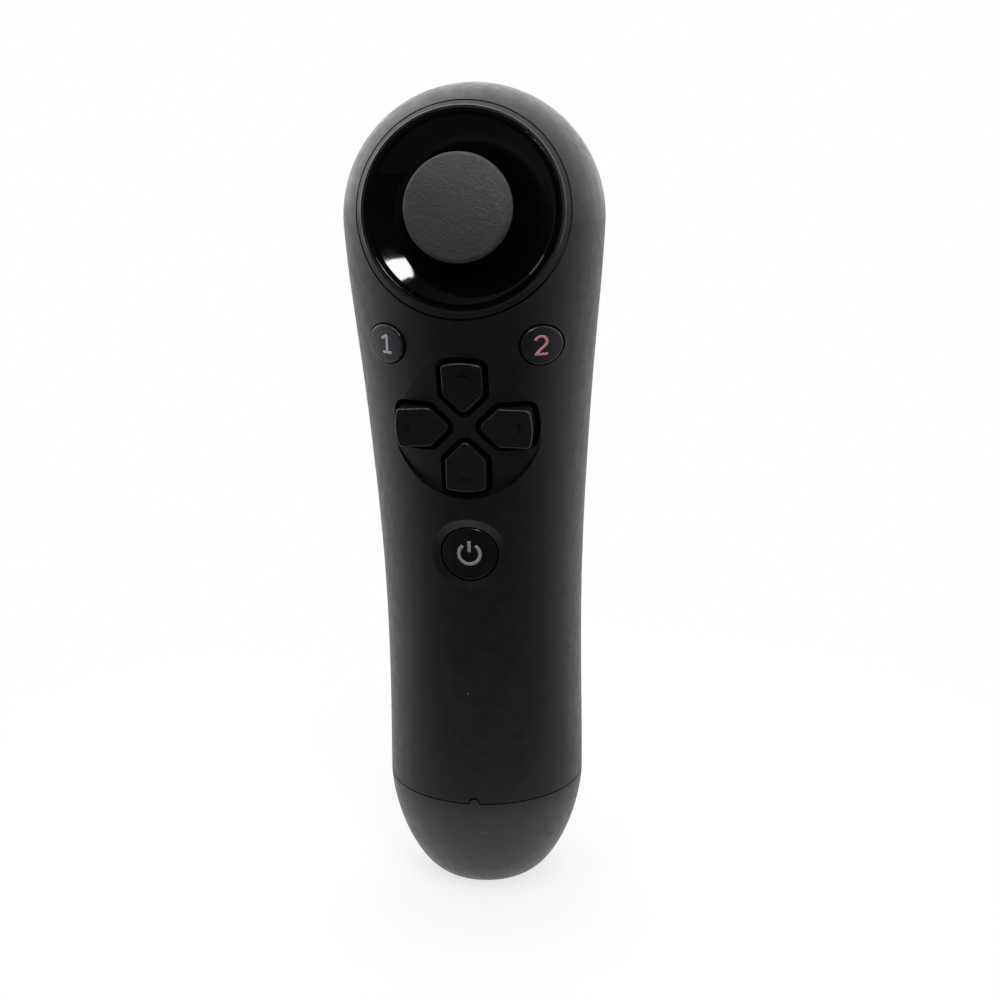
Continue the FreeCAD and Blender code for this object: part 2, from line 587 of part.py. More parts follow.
def make_stick():
    crown_radius = "((cap_radius^2 + cap_crown^2) / (2 * cap_crown))"
    disc = common("CapDisc", [
        rod("CapBar", "z", "cap_radius", ("0", "0", "cap_top - cap_edge - cap_crown"),
            "cap_edge + cap_crown"),
        ball("CapCrown", crown_radius, ("0", "0", "cap_top - %s" % crown_radius),
             poles=TURNS["x"])])
    eased = rounded("CapEased", disc, "cap_round", lambda edge: isinstance(
        edge.Curve, Part.Circle) and abs(edge.Curve.Radius - number("cap_radius")) < 0.01)
    neck = rod("CapNeck", "z", "cap_neck", ("0", "0", "skirt_radius - skirt_wall"),
               "cap_top - cap_crown - 1 - (skirt_radius - skirt_wall)")
    skirt = cut("Skirt", common("SkirtCap", [
        ball("SkirtBall", "skirt_radius"),
        rod("SkirtLimit", "z", "skirt_radius + 1", ("0", "0", "skirt_edge"), "skirt_radius")]),
        [ball("SkirtRoom", "skirt_radius - skirt_wall")])
    bore = rod("CapBore", "z", "shaft_radius", ("0", "0", "0"), "shaft_top")
    cap = cut("CapHollow", fuse("CapWhole", [eased, neck, skirt]), [bore])
    node("stick_cap", in_head(cap))
    stem = rod("ShaftStem", "z", "shaft_radius", ("0", "0", "shaft_shoulder"),
               "shaft_top - shaft_shoulder")
    blade = wide_box("ShaftBlade", "blade_half_x", ("-blade_half_y", "blade_half_y"),
                     ("-blade_drop", "shaft_shoulder"))
    eye = wide_box("ShaftEye", "pin_radius + running_gap", ("-5", "5"),
                   ("-(pin_radius + running_gap)", "pin_radius + running_gap + press_travel"))
    node("stick_shaft", in_head(cut("Shaft", fuse("ShaftWhole", [stem, blade]), [eye])))
    pin = rod("PivotPin", "y", "pin_radius", ("0", "-rocker_half_y", "0"), "2 * rocker_half_y")
    node("stick_pivot_pin", in_head(common("CrownedPin", [pin, ball(
        "PinCrown", "rocker_half_y")])))


def make_rockers():
    bar = wide_box("LowerBar", "rocker_half_x", ("-rocker_half_y", "rocker_half_y"),
                   ("-rocker_half_thick", "rocker_half_thick"))
    long_journal = rod("LowerJournalLong", "x", "journal_radius", ("0", "0", "0"), "journal_reach")
    short_journal = rod("LowerJournalShort", "x", "journal_radius", ("-housing_half", "0", "0"),
                        "housing_half")
    slot = wide_box("LowerSlot", "slot_half_x",
                    ("-(blade_half_y + running_gap)", "blade_half_y + running_gap"), ("-5", "5"))
    pin_hole = rod("LowerPinHole", "y", "pin_radius + running_gap", ("0", "-5", "0"), "10")
    node("lower_rocker", in_head(cut("LowerRocker", fuse(
        "LowerWhole", [bar, long_journal, short_journal]), [slot, pin_hole])))
    bridge = wide_box("ArchTop", "arch_half_x", ("-arch_reach", "arch_reach"),
                      ("arch_top - arch_thick", "arch_top"))
    legs = [box("ArchLeg%d" % side, ("-arch_half_x / 1.6", "arch_half_x / 1.6"),
                sorted(("%d * (arch_reach - arch_leg)" % side, "%d * arch_reach" % side),
                       key=number), ("-journal_radius - 0.3", "arch_top")) for side in (-1, 1)]
    near = rod("UpperJournalLong", "y", "journal_radius", ("0", "-journal_reach", "0"),
               "journal_reach - arch_reach + arch_leg")
    far = rod("UpperJournalShort", "y", "journal_radius", ("0", "arch_reach - arch_leg", "0"),
              "housing_half - arch_reach + arch_leg")
    arch_slot = wide_box("ArchSlot", "shaft_radius + running_gap", ("-arch_slot", "arch_slot"),
                         ("1", "9"))
    node("upper_rocker", in_head(cut("UpperRocker", fuse(
        "UpperWhole", [bridge, near, far] + legs), [arch_slot])))


def make_stick_housing():
    case = wide_box("HousingCase", "housing_half", ("-housing_half", "housing_half"),
                    ("-housing_floor", "housing_top"))
    inside = "(housing_half - housing_wall)"
    room = wide_box("HousingRoom", inside, ("-" + inside, inside),
                    ("-housing_floor + housing_wall", "9"))
    holes = [rod("HousingHoleX", "x", "journal_radius + running_gap", ("-9", "0", "0"), "18"),
             rod("HousingHoleY", "y", "journal_radius + running_gap", ("0", "-9", "0"), "18")]
    node("stick_housing", in_head(cut("Housing", case, [room] + holes)))
    for name, along, low in (("x", "x", "housing_half"),
                             ("y", "y", "-(housing_half + sensor_thick)")):
        span = (low, "%s + sensor_thick" % low)
        side = ("-sensor_half", "sensor_half")
        height = ("-sensor_drop", "sensor_top")
        body = box("Sensor" + name, span, side, height) if along == "x" else box(
            "Sensor" + name, side, span, height)
        start = ("0", "0", "0") if along == "x" else ("0", "-(journal_reach + 0.2)", "0")
        bore = rod("SensorBore" + name, along, "journal_radius + running_gap", start,
                   "journal_reach + 0.2")
        node("stick_sensor_" + name, in_head(cut("SensorUnit" + name, body, [bore])))
    switch = box("SwitchCase", ("-(housing_half + switch_length)", "-housing_half"),
                 ("-switch_half", "switch_half"), ("-housing_floor", "switch_rise - housing_floor"))
    plunger = rod("SwitchPlunger", "z", "plunger_radius",
                  ("-(housing_half + switch_length / 2)", "0", "switch_rise - housing_floor - 0.5"),
                  "1.1")
    node("stick_click_switch", in_head(fuse("ClickSwitch", [switch, plunger])))


def coil(name, wire, radius, pitch, height):
    """A coil spring along +Z whose wire is swept along a helix."""
    path = doc.addObject("Part::Helix", name + "Path")
    bind(path, Radius=radius, Pitch=pitch, Height=height)
    ring = doc.addObject("Part::Circle", name + "Section")
    bind(ring, Radius=wire)
    place(ring, radius, "0", "0", rotation=Rotation(Vector(1, 0, 0), 90))
    doc.recompute()
    sweep = doc.addObject("Part::Sweep", name)
    sweep.Sections = [ring]
    sweep.Spine = (path, ["Edge%d" % (index + 1) for index in range(len(path.Shape.Edges))])
    sweep.Solid = True
    sweep.Frenet = True
    return sweep


def make_centre_spring():
    turns = coil("CentreCoil", "centre_wire", "centre_coil", "centre_rise", "centre_rise * 1.5")
    place(turns, "0", "0", "housing_wall + centre_wire - housing_floor")
    node("stick_spring", in_head(turns))


def make_stick_board():
    board = wide_box("StickPlate", "stick_board_half", ("-stick_board_low", "stick_board_top"),
                     ("-" + STICK_BOARD_BACK, "-" + STICK_BOARD_FRONT))
    holes = [rod("StickBoardHole%d" % side, "z", "small_shank + running_gap",
                 ("%d * stick_post_x" % side, "0", "-20"), "40") for side in (-1, 1)]
    node("stick_board", in_head(cut("StickBoard", board, holes)))


# Front keys

def eased(name, key, skin):
    """Round the edge where the sides of a key meet its face."""
    doc.recompute()
    face = skin.Shape.Shells[0]

    def on_face(edge):
        first, last = edge.FirstParameter, edge.LastParameter
        spots = [edge.valueAt(first + share * (last - first)) for share in (0.1, 0.5, 0.9)]
        return all(face.distToShape(Part.Vertex(spot))[0] < 0.02 for spot in spots)

    return rounded(name, key, "key_ease", on_face)


def make_action_keys():
    for side, name in ((-1, "left_action_button"), (1, "right_action_button")):
        x = "%d * action_spread" % side
        stem = common("ActionFace%d" % side, [
            rod("ActionBar%d" % side, "y", "action_radius", (x, "-50", "action_height"),
                "50 - %s" % ACTION_BACK), key_skin])
        top = eased("ActionTop%d" % side, stem, key_skin)
        lip = common("ActionLip%d" % side, [
            rod("ActionLipBar%d" % side, "y", "action_radius + lip_wall",
                (x, "-(guide_end - 0.1)", "action_height"), "lip_thick"),
            wide_box("ActionLipSide%d" % side, "action_spread + lip_side", ("-60", "0"),
                     ("0", "200"))])
        node(name, fuse("ActionKey%d" % side, [top, lip]))


def make_home_key():
    stem = common("HomeFace", [rod("HomeBar", "y", "home_radius", ("0", "-50", "home_height"),
                                   "50 - %s" % HOME_BACK), home_skin])
    lip = rod("HomeLip", "y", "home_radius + home_lip", ("0", "-home_lip_face", "home_height"),
              "lip_thick")
    node("home_button", fuse("HomeKey", [eased("HomeTop", stem, home_skin), lip]))


def arrow_mark(name, side):
    """A small triangle near the outer end of a direction key."""
    mark = doc.addObject("Part::Wedge", name)
    far = "dpad_reach_across" if side % 2 else "dpad_reach_up"
    low = "(%s - arrow_inset - arrow_length)" % far
    bind(mark, Xmin="-arrow_width / 2", Xmax="arrow_width / 2", X2min="-0.05", X2max="0.05",
         Ymin=low, Ymax="%s + arrow_length" % low, Zmin="0", Zmax="20", Z2min="0", Z2max="20")
    turn = Rotation(Vector(0, 1, 0), 90 * side).multiply(Rotation(Vector(1, 0, 0), 90))
    return place(mark, "0", "-dpad_plate_face", "dpad_height", rotation=turn)


def dpad_bowl(name, deeper):
    """The large ball whose underside hollows the face of the cross."""
    return ball(name, "dpad_face_bowl + (%s)" % deeper,
                ("0", "-(dpad_face + dpad_face_bowl * cos(dpad_face_lean))",
                 "dpad_height - dpad_face_bowl * sin(dpad_face_lean)"))


def make_dpad():
    bowl = dpad_bowl("DpadBowl", "0")
    keys = [cut("DpadFace%d" % side, dpad_prism("DpadKey%d" % side, side, "0", "20"), [bowl])
            for side in range(4)]
    cross = fuse("DpadFaces", [eased("DpadTop%d" % side, key, bowl)
                               for side, key in enumerate(keys)])
    plate = rod("DpadPlate", "y", "dpad_plate_radius", ("0", "-dpad_plate_face", "dpad_height"),
                "dpad_plate_face - dpad_plate_back")
    hub = rod("DpadHub", "y", "dpad_hub_radius", ("0", "-dpad_hub_face", "dpad_height"),
              "dpad_hub_face - dpad_plate_back")
    whole = fuse("DpadWhole", [cross, plate, hub])
    relief = rod("DpadRelief", "y", "dpad_hub_radius + 0.4",
                 ("0", "-dpad_hub_back", "dpad_height"), "9")
    socket = ball("DpadSocket", "ball_radius + running_gap", ("0", "-ball_forward", "dpad_height"))
    marks = common("ArrowMarks", [fuse("ArrowSet", [arrow_mark("Arrow%d" % side, side)
                                                    for side in range(4)]),
                                  dpad_bowl("ArrowBowl", "arrow_depth")])
    node("dpad", cut("Dpad", whole, [relief, socket, marks]))
    node("dpad_pivot_ball", ball("DpadBall", "ball_radius", ("0", "-ball_forward", "dpad_height")))
    post = rod("SupportPost", "y", "support_radius", ("0", "-support_face", "dpad_height"),
               "support_face - board_face")
    node("dpad_support", cut("Support", post, [ball(
        "SupportSocket", "ball_radius", ("0", "-ball_forward", "dpad_height"))]))


# Boards and rubber in the grip


def board_outline(name, back, thick, inset, low, low_half):
    """The stepped outline that the main board and its rubber mat share."""
    depth = ("-(%s)" % back, "-(%s) + %s" % (back, thick))
    spans = [("Low", low_half, low, "board_step + 2"),
             ("Mid", "board_mid_half", "board_step", "board_shelf + 1"),
             ("High", "board_high_half", "board_shelf", "board_high - %s" % inset)]
    return fuse(name, [wide_box(name + part, "%s - %s" % (half, inset), depth, (start, end))
                       for part, half, start, end in spans])


def make_main_board():
    plate = board_outline("MainPlate", "board_face", "board_thick", "0", "board_low",
                          "board_low_half")
    holes = [rod("MainHole%d" % index, "y", "small_shank + running_gap", (x, "-20", z), "20")
             for index, (x, z) in enumerate(BOARD_SPOTS)]
    node("main_board", cut("MainBoard", plate, holes))
    spot = "-%s" % BOARD_BACK
    node("main_chip", wide_box("MainChip", "chip_side / 2", (spot, "chip_thick - %s" % BOARD_BACK),
                               ("chip_height", "chip_height + chip_side")))
    node("radio_module", wide_box("RadioModule", "radio_width / 2",
                                  (spot, "radio_thick - %s" % BOARD_BACK),
                                  ("radio_height - radio_length / 2",
                                   "radio_height + radio_length / 2")))
    plug = wide_box("PlugCase", "plug_width / 2", (spot, "plug_thick - %s" % BOARD_BACK),
                    ("plug_height - plug_length / 2", "plug_height + plug_length / 2"))
    sockets = [rod("PlugSocket%d" % side, "z", "lead_radius",
                   ("%d * lead_spread" % side, "plug_thick / 2 - %s" % BOARD_BACK,
                    "plug_height - plug_length / 2"), "plug_length / 2") for side in (-1, 1)]
    node("battery_connector", cut("BatteryPlug", plug, sockets))


def make_membrane():
    mat = board_outline("Mat", MEMBRANE_FACE, "membrane_thick", "0.4", "board_step + 0.6",
                        "board_mid_half")
    domes = [rod("ActionDome%d" % side, "y", "dome_radius",
                 ("%d * (action_spread - 0.7)" % side, "-%s" % DOME_FACE, "action_height"),
                 "dome_rise + 0.1") for side in (-1, 1)]
    domes.append(rod("HomeDome", "y", "dome_radius", ("0", "-%s" % DOME_FACE, "home_height"),
                     "dome_rise + 0.1"))
    for side in range(4):
        out = ("%d * dpad_dome_spread" % round(math.sin(side * math.pi / 2)),
               "%d * dpad_dome_spread + dpad_height" % round(math.cos(side * math.pi / 2)))
        domes.append(rod("DpadDome%d" % side, "y", "dome_radius - 0.3",
                         (out[0], "-%s" % DOME_FACE, out[1]), "dome_rise + 0.1"))
    holes = [rod("MatHole%d" % index, "y", "board_post_radius + 0.3", (x, "-20", z), "20")
             for index, (x, z) in enumerate(BOARD_SPOTS[2:])]
    holes.append(rod("MatCentre", "y", "support_radius + 0.3", ("0", "-20", "dpad_height"), "20"))
    node("keypad_membrane", cut("Membrane", fuse("MatWhole", [mat] + domes), holes))


# Battery and tray


def make_tray():
    floor = wide_box("TrayFloor", "tray_half", ("-" + TRAY_FRONT, "-tray_back"),
                     ("tray_low", "battery_low + battery_length + tray_gap + tray_wall"))
    ears = [rod("TrayEar%d" % index, "y", "boss_radius", (x, "-" + TRAY_FRONT, z), "tray_thick")
            for index, (x, z) in enumerate(SCREW_SPOTS)]
    ears.append(wide_box("TrayArms", "screw_high_x", ("-" + TRAY_FRONT, "-tray_back"),
                         ("screw_high - boss_radius + 0.6", "screw_high + boss_radius - 0.6")))
    outside = wide_box("TrayOutside", "tray_half", ("-" + TRAY_FRONT, "tray_rise - tray_back"),
                       ("battery_low - tray_gap - tray_wall",
                        "battery_low + battery_length + tray_gap + tray_wall"))
    inside = wide_box("TrayInside", "tray_half - tray_wall", ("-tray_back", "60"),
                      ("battery_low - tray_gap", "battery_low + battery_length + tray_gap"))
    slot = wide_box("TraySlot", "lead_slot_half", ("-20", "0"), ("lead_slot_low",
                                                                "lead_slot_high"))
    notch = wide_box("TrayNotch", "lead_slot_half - 1", ("0", "60"),
                     ("lead_slot_high", "battery_low"))
    holes = [rod("TrayHole%d" % index, "y", "screw_shank + screw_gap", (x, "-20", z), "20")
             for index, (x, z) in enumerate(SCREW_SPOTS)]
    node("battery_tray", cut("Tray", fuse("TrayWhole", [floor, outside] + ears),
                             [inside, slot, notch] + holes))
    cell = wide_box("BatteryBlock", "battery_half", ("-tray_back", "battery_thick - tray_back"),
                    ("battery_low", "battery_low + battery_length"))
    node("battery_pack", rounded("BatteryPack", cell, "battery_round", lambda edge: abs(
        edge.tangentAt(edge.FirstParameter).z) > 0.999))


def bent_path(points, radius):
    """Straight runs joined by tangent arcs of one radius."""
    edges = []
    start = points[0]
    for before, corner, after in zip(points, points[1:], points[2:]):
        back = (before - corner).normalize()
        ahead = (after - corner).normalize()
        half = back.getAngle(ahead) / 2
        reach = radius / math.tan(half)
        first = corner + back * reach
        last = corner + ahead * reach
        middle = corner + (back + ahead).normalize() * (radius / math.sin(half) - radius)
        edges.append(Part.makeLine(start, first))
        edges.append(Part.Arc(first, middle, last).toShape())
        start = last
    edges.append(Part.makeLine(start, points[-1]))
    return Part.Wire(edges)


def make_leads():
    """Two leads from the foot of the battery to the plug on the main board."""
    shapes = []
    for side in (-1, 1):
        x = side * number("lead_spread")
        depth = number("battery_thick / 2 - tray_back")
        low = min(number("(lead_slot_low + lead_slot_high) / 2"), number(
            "plug_height - plug_length / 2 - lead_bend - lead_radius - running_gap"))
        plug = number("plug_thick / 2 - %s" % BOARD_BACK)
        points = [Vector(x, depth, number("battery_low")), Vector(x, depth, low),
                  Vector(x, plug, low), Vector(x, plug, number("plug_height - plug_length / 2 + 1"))]
        path = bent_path(points, number("lead_bend"))
        ring = Part.Wire([Part.makeCircle(number("lead_radius"), points[0], Vector(0, 0, -1))])
        shapes.append(path.makePipeShell([ring], True, False))
    solid_node("battery_leads", Part.makeCompound([Part.Solid(shape.Shells[0]) if not shape.Solids
                                                   else shape.Solids[0] for shape in shapes]))


# Charging port


def make_port():
    shell = wide_box("PortShell", "port_half_x", ("-port_half_y", "port_half_y"),
                     ("port_low", "port_low + port_length"))
    room = wide_box("PortRoom", "port_half_x - port_skin",
                    ("-(port_half_y - port_skin)", "port_half_y - port_skin"),
                    ("-1", "port_low + port_depth"))
    tongue = wide_box("PortTongue", "tongue_half", ("-tongue_thick / 2 + 0.3",
                                                    "tongue_thick / 2 + 0.3"),
                      ("port_low + 1", "port_low + port_depth + 0.5"))
    node("charging_port", fuse("ChargingPort", [cut("PortCase", shell, [room]), tongue]))
    node("port_board", wide_box("PortBoard", "port_board_half",
                                ("port_half_y", "port_half_y + board_thick"),
                                ("port_board_low", "port_board_high")))


def ribbon(name, width, points):
    """A flat cable through points in the middle plane, each a (back, up) pair."""
    half = number("ribbon_thick") / 2
    wide = number(width)
    path = [Vector(-wide / 2, number(y), number(z)) for y, z in points]
    sides = ([], [])
    for index, point in enumerate(path):
        ways = [(b - a).normalize() for a, b in zip(path, path[1:])]
        before = ways[max(index - 1, 0)]
        after = ways[min(index, len(ways) - 1)]
        across = Vector(0, -(before.z + after.z), before.y + after.y).normalize()
        grow = half / max(across.dot(Vector(0, -before.z, before.y)), 0.2)
        sides[0].append(point + across * grow)
        sides[1].append(point - across * grow)
    outline = sides[0] + sides[1][::-1]
    face = Part.Face(Part.makePolygon(outline + outline[:1]))
    solid_node(name, face.extrude(Vector(wide, 0, 0)))


def make_ribbons():
    ribbon("trigger_ribbon", "ribbon_width", [
        ("bracket_face - ribbon_thick / 2", "rear_board_low + 2"),
        ("bracket_face - ribbon_thick / 2", "board_high - 7"),
        ("-2", "board_high - 9.5"), ("-%s + 1.5" % BOARD_BACK, "board_high - 9.5"),
        ("-%s + ribbon_thick / 2" % BOARD_BACK, "board_high - 7"),
        ("-%s + ribbon_thick / 2" % BOARD_BACK, "board_high - 3")])


# Rear keys, their bracket and their board


def make_bumper():
    skin = cut("BumperSkin", ball("BumperOutside", "head_radius + rear_rise",
                                  ("0", "-head_forward", HEAD_HEIGHT)),
               [ball("BumperInside", "head_radius + rear_rise - rear_skin",
                     ("0", "-head_forward", HEAD_HEIGHT))])
    face = common("BumperFace", [skin, rear_window("BumperBlock", "rear_gap", "bumper_low",
                                                   "bumper_high")])
    width = "window_half - rear_gap"
    lug = rod("BumperLug", "x", "bumper_lug",
              ("-(%s)" % width, "bumper_pivot_back", "bumper_pivot_up"), "2 * (%s)" % width)
    foot = common("BumperFoot", [
        wide_box("BumperFootBar", "foot_half", ("bumper_foot_tip", "60"),
                 ("bumper_foot - 0.8", "bumper_foot + 0.8")),
        ball("BumperFootLimit", "head_radius", ("0", "-head_forward", HEAD_HEIGHT))])
    hole = rod("BumperPinHole", "x", "bumper_pin + running_gap",
               ("-20", "bumper_pivot_back", "bumper_pivot_up"), "40")
    node("upper_rear_button", cut("Bumper", fuse("BumperWhole", [face, lug, foot]), [hole]))
    node("upper_button_pin", rod("BumperPin", "x", "bumper_pin",
                                 ("-pin_half", "bumper_pivot_back", "bumper_pivot_up"),
                                 "2 * pin_half"))


def make_trigger():
    centre = ("-20", "trigger_reach - trigger_curve", "trigger_bulge")
    skin = tube("TriggerSkin", "x", "trigger_curve", "trigger_curve - trigger_skin", centre, "40")
    plan = rod("TriggerPlan", "z", "trigger_round",
               ("0", "trigger_reach - trigger_round", "trigger_low - 1"),
               "trigger_high - trigger_low + 2")
    block = rear_window("TriggerBlock", "rear_gap", "trigger_low", "trigger_high")
    face = common("TriggerFace", [skin, block, plan])
    width = "(window_half - rear_gap)"
    lugs = []
    webs = []
    walls = []
    for side in (-1, 1):
        span = sorted(("%d * trigger_knuckle" % side, "%d * %s" % (side, width)), key=number)
        lugs.append(rod("TriggerLug%d" % side, "x", "trigger_lug",
                        (span[0], "trigger_pivot_back", "trigger_pivot_up"),
                        "%s - trigger_knuckle" % width))
        webs.append(box("TriggerWeb%d" % side, span, ("trigger_pivot_back", "60"),
                        ("trigger_pivot_up - trigger_lug", "trigger_high - 0.3")))
        rim = sorted(("%d * (%s - trigger_side)" % (side, width), "%d * %s" % (side, width)),
                     key=number)
        walls.append(box("TriggerWall%d" % side, rim, ("trigger_side_front", "60"),
                         ("trigger_low", "trigger_high")))
    sides = common("TriggerSides", [fuse("TriggerWallSet", walls), plan, block, rod(
        "TriggerSideLimit", "x", "trigger_curve - 0.2", centre, "40")])
    inner = common("TriggerWebs", [fuse("TriggerWebSet", webs), rod(
        "TriggerWebLimit", "x", "trigger_curve - 0.5", centre, "40")])
    foot = common("TriggerFoot", [
        wide_box("TriggerFootBar", "foot_half", ("trigger_foot_tip", "60"),
                 ("trigger_foot - 0.9", "trigger_foot + 0.9")),
        rod("TriggerFootLimit", "x", "trigger_curve - 0.5", centre, "40")])
    hole = rod("TriggerPinHole", "x", "trigger_pin + running_gap",
               ("-20", "trigger_pivot_back", "trigger_pivot_up"), "40")
    node("lower_trigger", cut("Trigger", fuse("TriggerWhole", [face, inner, foot, sides] + lugs),
                              [hole]))
    node("trigger_pin", rod("TriggerPin", "x", "trigger_pin",
                            ("-pin_half", "trigger_pivot_back", "trigger_pivot_up"),
                            "2 * pin_half"))


def make_trigger_spring():
    """A torsion spring on the trigger's pin, with one leg on the bracket and one on the skin."""
    turns = coil("TorsionCoil", "spring_wire", "spring_coil", "spring_pitch", "2 * spring_half")
    turns.Placement = FreeCAD.Placement(Vector(0, 0, 0), Rotation(Vector(0, 1, 0), 90))
    place(turns, "-spring_half", "trigger_pivot_back", "trigger_pivot_up")
    legs = [rod("SpringLeg1", "z", "spring_wire",
                ("-spring_half", "trigger_pivot_back - spring_coil",
                 "trigger_pivot_up - spring_leg"), "spring_leg"),
            rod("SpringLeg2", "z", "spring_wire",
                ("spring_half", "trigger_pivot_back + spring_coil",
                 "trigger_pivot_up - spring_leg"), "spring_leg")]
    node("trigger_spring", fuse("TorsionSpring", [turns] + legs))


def make_bracket():
    plate = wide_box("BracketPlate", "bracket_half", ("bracket_face", BRACKET_BACK),
                     ("bracket_low", "bracket_high"))
    wings = wide_box("BracketWings", "bracket_screw_x + stick_post_radius",
                     ("bracket_face", BRACKET_BACK),
                     ("bracket_screw - 2.6", "bracket_screw + 2.6"))
    ears = [box("BracketEar%d" % side, sorted(("%d * window_half" % side,
                                               "%d * bracket_half" % side), key=number),
                ("bracket_face", "ear_reach"), ("ear_low", "200")) for side in (-1, 1)]
    holes = [rod("BracketPinHole%d" % index, "x", radius, ("-30", y, z), "60")
             for index, (radius, y, z) in enumerate((
                 ("bumper_pin", "bumper_pivot_back", "bumper_pivot_up"),
                 ("trigger_pin", "trigger_pivot_back", "trigger_pivot_up")))]
    holes += [rod("BracketHole%d" % side, "y", "small_shank + running_gap",
                  ("%d * bracket_screw_x" % side, "-20", "bracket_screw"), "40")
              for side in (-1, 1)]
    body = common("BracketInside", [fuse("BracketSet", [plate, wings] + ears), spaced_cavity])
    node("trigger_bracket", cut("Bracket", body, holes))
    node("rear_key_board", wide_box("RearKeyBoard", "rear_board_half",
                                    (BRACKET_BACK, REAR_BOARD_BACK),
                                    ("rear_board_low", "rear_board_high")))
    pads = [rod("RearPad%d" % index, "y", "pad_radius", ("0", REAR_BOARD_BACK, z),
                "%s - %s" % (tip, REAR_BOARD_BACK)) for index, (tip, z) in enumerate((
                    ("bumper_pad_tip", "bumper_foot"), ("trigger_pad_tip", "trigger_foot - 0.6")))]
    mat = wide_box("RearMat", "pad_radius + 1", (REAR_BOARD_BACK, "%s + 0.4" % REAR_BOARD_BACK),
                   ("trigger_foot - 3.5", "bumper_foot + 3"))
    node("rear_key_pads", fuse("RearPads", [mat] + pads))


# Screws


def screw(name, start, shank, length, head, head_thick):
    """A self-tapping screw that points towards the front, with its head behind."""
    x, y, z = start
    body = fuse(name + "Whole", [
        rod(name + "Shank", "y", shank, (x, "(%s) - (%s)" % (y, length), z), length),
        rod(name + "Head", "y", head, (x, y, z), head_thick)])
    recess = rod(name + "Drive", "y", "drive_radius", (x, "(%s) + %s - drive_depth" % (
        y, head_thick), z), "drive_depth")
    return cut(name, body, [recess])


def small_screw(name, along, seat):
    """A short screw whose head lies before its seat and whose shank points along the axis."""
    before = list(seat)
    axis = "xyz".index(along)
    before[axis] = "%s - small_head_thick" % seat[axis]
    body = fuse(name + "Whole", [
        rod(name + "Head", along, "small_head", before, "small_head_thick"),
        rod(name + "Shank", along, "small_shank", seat, "small_length")])
    return cut(name, body, [rod(name + "Drive", along, "drive_radius", before, "drive_depth")])


def make_screws():
    node("shell_screws", fuse("ShellScrews", [
        screw("ShellScrew%d" % index, (x, "screw_seat - tray_back", z), "screw_shank",
              "screw_length", "screw_head", "screw_head_thick")
        for index, (x, z) in enumerate(SCREW_SPOTS)]))
    small = [screw("BoardScrew%d" % index, (x, "-" + BOARD_BACK, z), "small_shank",
                   "small_length", "small_head", "small_head_thick")
             for index, (x, z) in enumerate(BOARD_SPOTS)]
    for side in (-1, 1):
        small.append(in_head(small_screw("StickScrew%d" % side, "z", (
            "%d * stick_post_x" % side, "0", "-" + STICK_BOARD_BACK))))
        small.append(small_screw("RearScrew%d" % side, "y", (
            "%d * bracket_screw_x" % side, "bracket_face", "bracket_screw")))
    node("board_screws", fuse("BoardScrews", small))


make_front_shell()
make_rear_shell()
make_base_cap()
make_dish_bezel()
make_stick()
make_rockers()
make_stick_housing()
make_centre_spring()
make_stick_board()
make_action_keys()
make_home_key()
make_dpad()
make_main_board()
make_membrane()
make_tray()
make_leads()
make_port()
make_ribbons()
make_bumper()
make_trigger()
make_trigger_spring()
make_bracket()
make_screws()
doc.recompute()

failed = [item.Name for item in doc.Objects if {"Invalid", "Error"} & set(item.State)]
if failed:
    raise RuntimeError("These objects failed: " + ", ".join(failed))
for name, item in nodes.items():
    if item.Shape.isNull() or not item.Shape.isValid() or not item.Shape.Solids:
        raise RuntimeError("This piece has no valid solid: " + name)

os.makedirs("parts", exist_ok=True)
for name, item in nodes.items():
    item.Shape.exportStep(os.path.join("parts", name + ".step"))
    print("%-20s %2d solids %9.1f mm3" % (name, len(item.Shape.Solids), item.Shape.Volume))
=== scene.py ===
# Looks of the motion navigation controller: surfaces, printed marks, the dish's lip, camera, light.
# Metres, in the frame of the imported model: +Z up, the stick and the keys face -Y.

import json
import math

import bpy
from mathutils import Matrix, Vector
from mathutils.bvhtree import BVHTree


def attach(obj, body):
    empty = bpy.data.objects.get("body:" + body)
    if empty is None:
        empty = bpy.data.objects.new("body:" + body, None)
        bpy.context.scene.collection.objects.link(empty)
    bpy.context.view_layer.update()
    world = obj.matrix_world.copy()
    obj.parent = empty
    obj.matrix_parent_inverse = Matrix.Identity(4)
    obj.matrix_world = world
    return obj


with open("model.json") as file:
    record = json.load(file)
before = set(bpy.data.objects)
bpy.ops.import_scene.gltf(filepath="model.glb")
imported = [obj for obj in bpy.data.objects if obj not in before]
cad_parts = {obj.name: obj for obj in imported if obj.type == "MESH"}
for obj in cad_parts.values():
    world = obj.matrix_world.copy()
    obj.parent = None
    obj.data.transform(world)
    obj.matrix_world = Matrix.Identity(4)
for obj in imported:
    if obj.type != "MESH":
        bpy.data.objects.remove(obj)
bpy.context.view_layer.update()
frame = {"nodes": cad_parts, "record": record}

nodes = frame["nodes"]
MM = 0.001

# Shader nodes

WHITE = (1, 1, 1, 1)
FIRST_COLOUR = 6
SECOND_COLOUR = 7
MIXED_COLOUR = 2


def add_node(tree, kind, inputs, **settings):
    """A node with its settings, and each input set to a value or linked to another's output."""
    node = tree.nodes.new(kind)
    for name, value in settings.items():
        setattr(node, name, value)
    for key, value in inputs.items():
        if isinstance(value, bpy.types.NodeSocket):
            tree.links.new(value, node.inputs[key])
        else:
            node.inputs[key].default_value = value
    return node


def calculate(tree, operation, *values):
    """The result of one operation on numbers or on other nodes' outputs."""
    inputs = dict(enumerate(values))
    return add_node(tree, "ShaderNodeMath", inputs, operation=operation).outputs[0]


